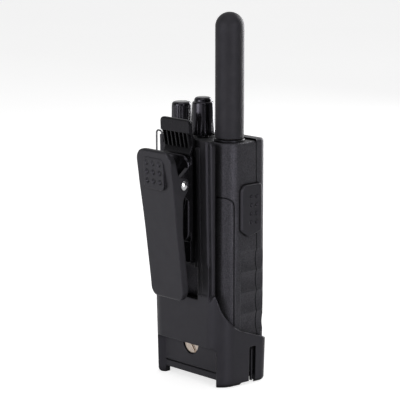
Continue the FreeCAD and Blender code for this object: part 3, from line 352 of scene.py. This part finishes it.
# ---------------------------------------------------------------- stage
FOCUS = Vector((0.0, 0.0, 0.090))  # middle of the object
CAMERA_AZIMUTH, CAMERA_ELEVATION, CAMERA_DISTANCE = 228.5, 10.5, 1.0
CAMERA_LENS, CAMERA_SENSOR = 184.5, 36.0
AIM_LEFT, AIM_DOWN = 5.37 * MM, 2.2 * MM  # how far beside and below the object's middle it looks

BEHIND = CAMERA_AZIMUTH + 90.0  # direction straight away from the camera in plan, counted from +X
FLAG, FLAG_SHADE = 224.0, 0.1  # direction of the dark side in plan, and how much light is left there
FLOOR_DIM, FLOOR_BRIGHT = 0.02, 0.4
FLOOR_SIZE = 6.0
WORLD_DIM, WORLD_BRIGHT = 0.08, 0.7
FLOOR_SEEN, WORLD_SEEN = 0.72, 1.1  # strengths at which the camera sees both as white

# name: direction in plan, height, distance, width and height, watts
SOFT_BOXES = {
    "key": (172.0, 0.1, 0.9, (0.34, 0.9), 5.5),
    "left": (84.0, 0.1, 1.0, (0.5, 0.9), 5.5),
    "front": (112.0, 0.1, 1.0, (0.5, 0.9), 1.2),
    "rim": (276.0, 0.1, 0.9, (0.4, 0.9), 10.0),
    "top": (130.0, 3.0, 1.1, (0.9, 0.9), 3.0),
}


def camera_axes():
    """Unit vectors to the camera's right, up and back."""
    azimuth, elevation = math.radians(CAMERA_AZIMUTH), math.radians(CAMERA_ELEVATION)
    back = Vector(
        (
            math.sin(azimuth) * math.cos(elevation),
            -math.cos(azimuth) * math.cos(elevation),
            math.sin(elevation),
        )
    )
    right = (-back).cross(Vector((0, 0, 1))).normalized()
    return right, right.cross(-back), back


def make_camera():
    data = bpy.data.cameras.new("camera")
    data.sensor_width = CAMERA_SENSOR
    data.lens = CAMERA_LENS
    data.clip_start = 0.01
    camera = bpy.data.objects.new("camera", data)
    bpy.context.scene.collection.objects.link(camera)
    right, up, back = camera_axes()
    aim = FOCUS - right * AIM_LEFT - up * AIM_DOWN
    camera.location = aim + back * CAMERA_DISTANCE
    camera.rotation_mode = "QUATERNION"
    camera.rotation_quaternion = (-back).to_track_quat("-Z", "Y")
    bpy.context.scene.camera = camera


def plan_direction(degrees, height=0.0):
    """Unit vector at an angle counted from +X in plan, raised by height."""
    angle = math.radians(degrees)
    return Vector((math.cos(angle), math.sin(angle), height)).normalized()


def make_floor():
    """White paper floor that glows most on the side away from the dark one. The camera sees it as white."""
    mesh = bpy.data.meshes.new("floor")
    size = FLOOR_SIZE
    corners = [(-size, -size, 0), (size, -size, 0), (size, size, 0), (-size, size, 0)]
    mesh.from_pydata(corners, [], [(0, 1, 2, 3)])
    floor = bpy.data.objects.new("floor", mesh)
    bpy.context.scene.collection.objects.link(floor)
    s = Surface("floor_paper")
    tone = s.spread(s.noise(0.4, 2.0), 0.0, 1.0)
    s.feed(s.shader.inputs["Base Color"], s.mix(tone, (0.52, 0.52, 0.52, 1), (0.55, 0.55, 0.55, 1)))
    s.shader.inputs["Roughness"].default_value = 0.9
    s.shader.inputs["Specular IOR Level"].default_value = 0.1
    s.shader.inputs["Emission Color"].default_value = (1, 1, 1, 1)
    glow = s.ramp(s.dot(s.place(), plan_direction(FLAG + 180)), -0.3, 0.6, FLOOR_DIM, FLOOR_BRIGHT)
    s.feed(s.shader.inputs["Emission Strength"], s.seen_by_camera(FLOOR_SEEN, glow))
    mesh.materials.append(s.material)


def soft_box(name, degrees, height, distance, size, power):
    """White area light that looks at the middle of the object from a direction in plan."""
    data = bpy.data.lights.new(name, "AREA")
    data.shape = "RECTANGLE"
    data.size, data.size_y = size
    data.energy = power
    light = bpy.data.objects.new(name, data)
    bpy.context.scene.collection.objects.link(light)
    direction = plan_direction(degrees, height)
    light.location = FOCUS + direction * distance
    light.rotation_mode = "QUATERNION"
    light.rotation_quaternion = direction.to_track_quat("Z", "Y")


def light_stage():
    """White surroundings, bright behind the object and dim on the dark side, and the soft boxes."""
    bpy.context.scene.view_settings.view_transform = "Standard"
    world = bpy.data.worlds.new("studio")
    bpy.context.scene.world = world
    world.use_nodes = True
    n = Nodes(world.node_tree)
    background = n.tree.nodes["Background"]
    background.inputs["Color"].default_value = (1, 1, 1, 1)
    direction = n.add("ShaderNodeTexCoord").outputs["Generated"]
    brightest = plan_direction(BEHIND - 15, 0.1)
    glow = n.ramp(n.dot(direction, brightest), -0.2, 0.8, WORLD_DIM, WORLD_BRIGHT)
    flag = n.ramp(n.dot(direction, plan_direction(FLAG)), 0.55, 0.95, 1.0, FLAG_SHADE)
    n.feed(background.inputs["Strength"], n.seen_by_camera(WORLD_SEEN, n.math("MULTIPLY", glow, flag)))
    for name, settings in SOFT_BOXES.items():
        soft_box(name, *settings)


dress_cad_nodes()
make_spring()
make_floor()
light_stage()
make_camera()
